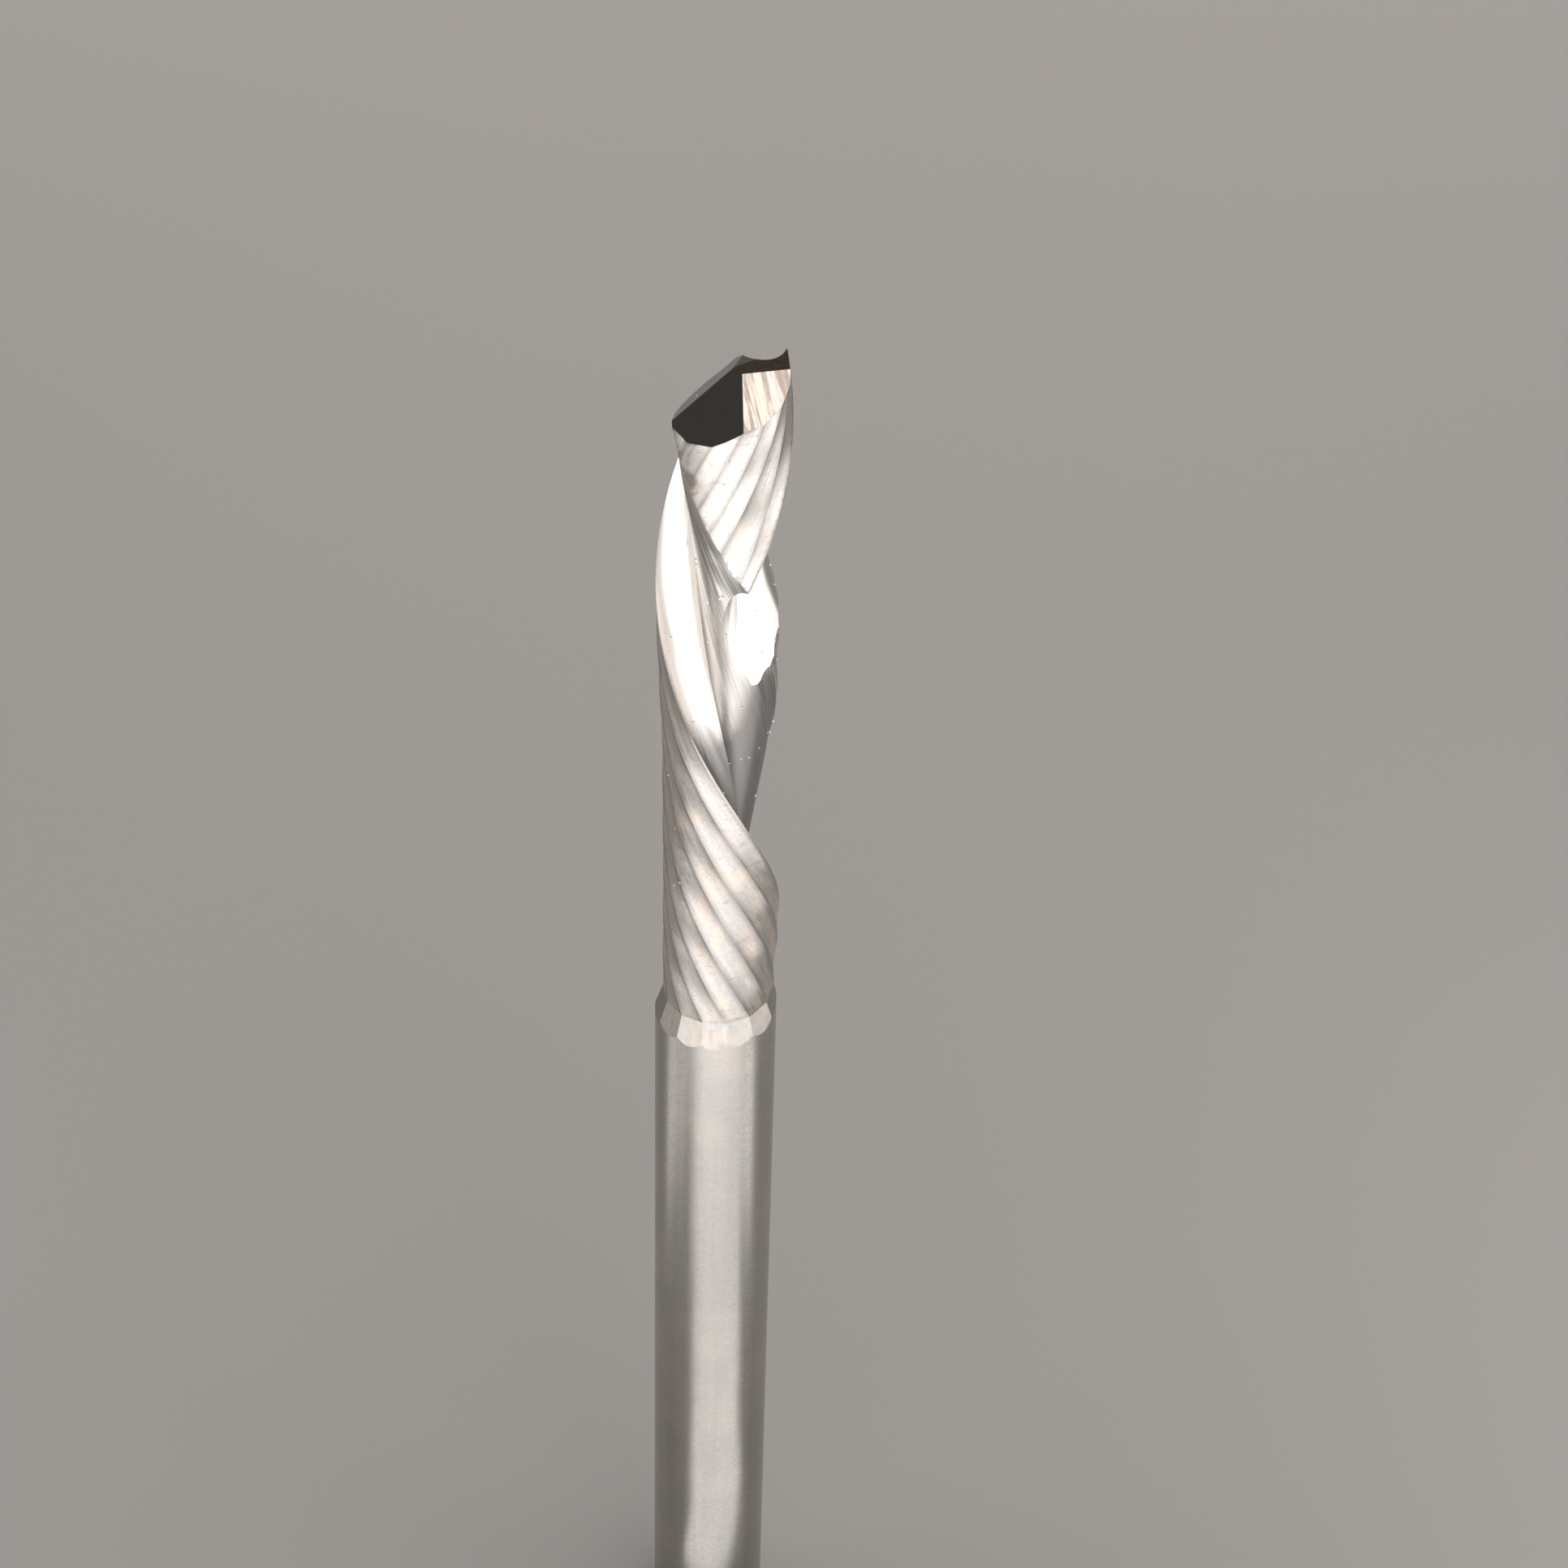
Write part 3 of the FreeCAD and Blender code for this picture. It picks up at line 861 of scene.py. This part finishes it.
class BIT_OT_grind(bpy.types.Operator):
    """Grind the bit from its blank, wheel by wheel"""

    bl_idname = "router_bit.grind"
    bl_label = "Grind the bit"

    def execute(self, context):
        sizes, finish = context.scene.bit_sizes, context.scene.carbide_finish
        looks = bit_looks(sizes, finish)
        wheels = bit_wheels(sizes, looks)
        radius = sizes.cutting_diameter / 2 * MILLIMETRES
        shank = sizes.shank_diameter / 2 * MILLIMETRES
        tip = sizes.overall_length * MILLIMETRES
        neck = tip - sizes.land_length * MILLIMETRES - 2 * SHOULDER_LENGTH
        blank = turned_blank([(shank - END_CHAMFER, 0), (shank, END_CHAMFER), (shank, neck),
                              (radius - BACK_TAPER, neck + SHOULDER_LENGTH), (radius, tip)],
                             looks["shank"])
        ground = tree_result("ground_bit", blank, grinding_tree(),
                             {**wheels, "Scale": 1 / MILLIMETRES})
        for wheel in wheels.values():
            bpy.data.objects.remove(wheel)
        if len(ground.polygons) < FEWEST_FACES:
            raise RuntimeError("the grinding left no bit")
        ground.shade_smooth()
        ground.set_sharp_from_angle(angle=math.radians(SMOOTH_ANGLE))
        bit = linked("ground_bit", ground)
        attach(bit, "root")
        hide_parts("router_bit")
        return {"FINISHED"}


def pale_dust(colour):
    """Dull dust with an uneven tone."""
    material, graph = new_material("pale_dust")
    place = graph.out("ShaderNodeTexCoord", "Object")
    tone = graph.mixed(graph.noise(place, *DUST_NOISE), opaque(colour),
                       opaque(shaded(colour, 0.8)))
    surfaced(graph, {"Base Color": tone, "Roughness": 0.8})
    return material


class BIT_OT_dust(bpy.types.Operator):
    """Scatter grains of dust over the ground bit"""

    bl_idname = "router_bit.dust"
    bl_label = "Dust the bit"

    def execute(self, context):
        sizes, finish = context.scene.bit_sizes, context.scene.carbide_finish
        bit = bpy.data.objects["ground_bit"].data
        top = sizes.overall_length
        bottom = top - DUST_DEPTH * sizes.land_length
        reach = DUST_REACH * sizes.cutting_diameter
        dusty_area = sum(p.area for p in bit.polygons
                         if p.center.xy.length < reach and bottom < p.center.z < top)
        values = {"Density": finish.dust_grains / dusty_area, "Grain": finish.grain_size / 2,
                  "Reach": reach, "Bottom": bottom, "Top": top - DUST_OFF_TIP, "Seed": DUST_SEED,
                  "Finish": pale_dust(finish.dust)}
        dust = linked("dust_grains", tree_result("dust_grains", bit, dust_tree(), values))
        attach(dust, "root")
        return {"FINISHED"}


# Stage, in metres

FLOOR_REACH = 3.0
# Painted light and shade on the floor: its colour is darkest at the bit and lightest at FLOOR_FADE
# behind it
FLOOR_FADE = 0.12                        # distance behind the bit at which the floor is lightest
FLOOR_PAINTED_LIGHT_SHARES = (0.82, 1.26)               # shares of its colour, at the bit and there
FLOOR_CLOUD = ((9.0, 9.0, 9.0), (0.3, 0.7), 2.0, 0.5)        # per metre
ROOM_COLOUR = (1.0, 0.98, 0.96, 1.0)

# Lamps around the bit: middle, the point that each faces, width, height, brightness
LAMPS = [("overhead_lamp", (0, 0.13, 0.50), (0, 0.13, 0), 0.52, 0.34, 3.5),
         ("key_lamp", (0.1265, -0.121, 0.30875), (0, 0, 0.03375), 0.22, 0.22, 1.9),
         ("low_front_lamp", (0.020, -0.112, 0.037), (0.020, 0.378, 0.907), 0.28, 0.145, 3.0),
         ("left_lamp", (-0.055, -0.014, 0.025), (0, -0.014, 0.025), 0.055, 0.040, 1.2),
         ("right_lamp", (0.052, -0.001, 0.022), (0, -0.001, 0.022), 0.043, 0.034, 1.8)]

# Lamps lying on the floor, which the upright faces mirror: x and y of the middle, width, depth
# and brightness
FLOOR_LAMPS = [("first_floor_lamp", 0.0022, -0.0045, 0.010, 0.003, 1.30),
               ("second_floor_lamp", 0.0036, -0.0078, 0.0165, 0.0036, 1.25),
               ("third_floor_lamp", 0.0044, -0.0118, 0.0235, 0.0044, 1.20),
               ("fourth_floor_lamp", 0.0042, -0.0170, 0.034, 0.006, 1.20),
               ("fifth_floor_lamp", 0.0022, -0.0230, 0.054, 0.006, 1.30),
               ("outer_floor_lamp", 0.0030, -0.0380, 0.074, 0.024, 1.80),
               ("left_floor_lamp", -0.0235, -0.0140, 0.010, 0.010, 0.9),
               ("side_floor_lamp", -0.0260, -0.0030, 0.013, 0.010, 1.1),
               ("near_right_floor_lamp", 0.0235, -0.0100, 0.012, 0.011, 1.6),
               ("right_floor_lamp", 0.075, -0.022, 0.060, 0.040, 1.2)]
FLOOR_LAMP_HEIGHT = 0.0006

# Camera, found from the outline of the bit in a square picture of 1932 pixels
SENSOR_WIDTH = 36.0                      # in millimetres
CAMERA_TILT = 0.7156                     # how far it looks down, in radians
CAMERA_ROLL = 0.0294
CAMERA_DISTANCE = 56.2548                # from the tip along the line of sight, in cutting radii
PIXELS_PER_RADIUS = 85.841               # at that distance
PICTURE_MIDDLE = 966.0
TIP_IN_PICTURE = (893.7226, 451.0904)    # where the axis meets the tip's height, in pixels
CLIPPING = (0.001, 20.0)


def plain_floor(colour):
    """Plain floor with painted light and shade: it is darker at the bit and grows lighter away from
    the camera, with a faint cloud in it.
    """
    material, graph = new_material("plain_floor")
    place = graph.out("ShaderNodeTexCoord", "Object")
    # Painted light: the floor's colour darkens towards the bit and lightens behind it
    away = graph.out("ShaderNodeMapRange", 0, None,
                     {"Value": graph.parts(place)[1], "From Max": FLOOR_FADE})
    near, far = (opaque(shaded(colour, tone)) for tone in FLOOR_PAINTED_LIGHT_SHARES)
    tone = graph.mixed(away, near, far)
    cloud = graph.patches(place, FLOOR_CLOUD)
    tone = graph.mixed(cloud * 0.10, tone, opaque(shaded(colour, 0.9)))
    surfaced(graph, {"Base Color": tone, "Roughness": 0.9})
    return material


def lay_floor(colour):
    mesh = bpy.data.meshes.new("floor")
    corners = [(-1, -1), (1, -1), (1, 1), (-1, 1)]
    mesh.from_pydata([(x * FLOOR_REACH, y * FLOOR_REACH, 0) for x, y in corners], [],
                     [(0, 1, 2, 3)])
    mesh.materials.append(plain_floor(colour))
    linked("floor", mesh)


def lamp(name, place, towards, width, height, radiance):
    """A soft rectangular lamp, seen only by its light and in reflections."""
    data = bpy.data.lights.new(name, "AREA")
    data.shape = "RECTANGLE"
    data.size = width
    data.size_y = height
    data.energy = radiance * math.pi * width * height
    made = linked(name, data)
    made.location = place
    facing = Vector(place) - Vector(towards)
    made.rotation_euler = facing.to_track_quat("Z", "Y").to_euler()
    made.visible_camera = False


def light_room(level):
    world = bpy.data.worlds.new("room")
    world.use_nodes = True
    world.node_tree.nodes.clear()
    graph = Graph(world.node_tree)
    sky = graph.out("ShaderNodeBackground", 0, None, {"Color": ROOM_COLOUR, "Strength": level})
    graph.node("ShaderNodeOutputWorld", None, {"Surface": sky})
    bpy.context.scene.world = world
    bpy.context.scene.view_settings.view_transform = "Standard"


def place_camera(radius, tip, lens):
    """Looks at the bit from where the tip and the axis fall on their places in the picture."""
    right = Vector((1, 0, 0))
    back = Vector((0, -math.cos(CAMERA_TILT), math.sin(CAMERA_TILT)))
    up = back.cross(right)
    level_x = math.cos(CAMERA_ROLL) * right + math.sin(CAMERA_ROLL) * up
    level_y = -math.sin(CAMERA_ROLL) * right + math.cos(CAMERA_ROLL) * up
    aside = (TIP_IN_PICTURE[0] - PICTURE_MIDDLE) / PIXELS_PER_RADIUS
    above = (PICTURE_MIDDLE - TIP_IN_PICTURE[1]) / PIXELS_PER_RADIUS
    eye = (-aside * level_x - above * level_y + CAMERA_DISTANCE * back) * radius
    data = bpy.data.cameras.new("camera")
    data.sensor_width = SENSOR_WIDTH
    data.lens = lens
    data.clip_start, data.clip_end = CLIPPING
    camera = linked("camera", data)
    turn = Matrix((level_x, level_y, back)).transposed()
    camera.matrix_world = Matrix.Translation(eye + Vector((0, 0, tip))) @ turn.to_4x4()
    bpy.context.scene.camera = camera


class BIT_OT_stage(bpy.types.Operator):
    """Lay the floor, set the lamps and place the camera"""

    bl_idname = "router_bit.stage"
    bl_label = "Set the stage"

    def execute(self, context):
        stage, sizes = context.scene.studio_stage, context.scene.bit_sizes
        lay_floor(stage.floor_colour)
        for row in LAMPS:
            lamp(*row)
        for name, x, y, width, depth, radiance in FLOOR_LAMPS:
            place = Vector((x, y, FLOOR_LAMP_HEIGHT))
            lamp(name, place, place + Vector((0, 0, 1)), width, depth, radiance)
        light_room(stage.room_level)
        place_camera(sizes.cutting_diameter / 2, sizes.overall_length, stage.lens)
        return {"FINISHED"}


class BIT_PT_panel(bpy.types.Panel):
    """Lists the steps and their settings"""

    bl_idname = "BIT_PT_panel"
    bl_label = "Router Bit"
    bl_space_type = "VIEW_3D"
    bl_region_type = "UI"
    bl_category = "Router Bit"

    def draw(self, context):
        scene, layout = context.scene, self.layout
        for settings in (scene.bit_sizes, scene.carbide_finish, scene.studio_stage):
            column = layout.column()
            for name in settings.__annotations__:
                column.prop(settings, name)
        for step in (BIT_OT_grind, BIT_OT_dust, BIT_OT_stage):
            layout.operator(step.bl_idname)


classes = (BitSizes, CarbideFinish, StudioStage, BIT_OT_grind, BIT_OT_dust, BIT_OT_stage,
           BIT_PT_panel)


def register():
    for one in classes:
        bpy.utils.register_class(one)
    bpy.types.Scene.bit_sizes = bpy.props.PointerProperty(type=BitSizes)
    bpy.types.Scene.carbide_finish = bpy.props.PointerProperty(type=CarbideFinish)
    bpy.types.Scene.studio_stage = bpy.props.PointerProperty(type=StudioStage)


def unregister():
    del bpy.types.Scene.studio_stage
    del bpy.types.Scene.carbide_finish
    del bpy.types.Scene.bit_sizes
    for one in reversed(classes):
        bpy.utils.unregister_class(one)


def main():
    register()
    bpy.ops.router_bit.grind()
    bpy.ops.router_bit.dust()
    bpy.ops.router_bit.stage()


if __name__ == "__main__":
    main()
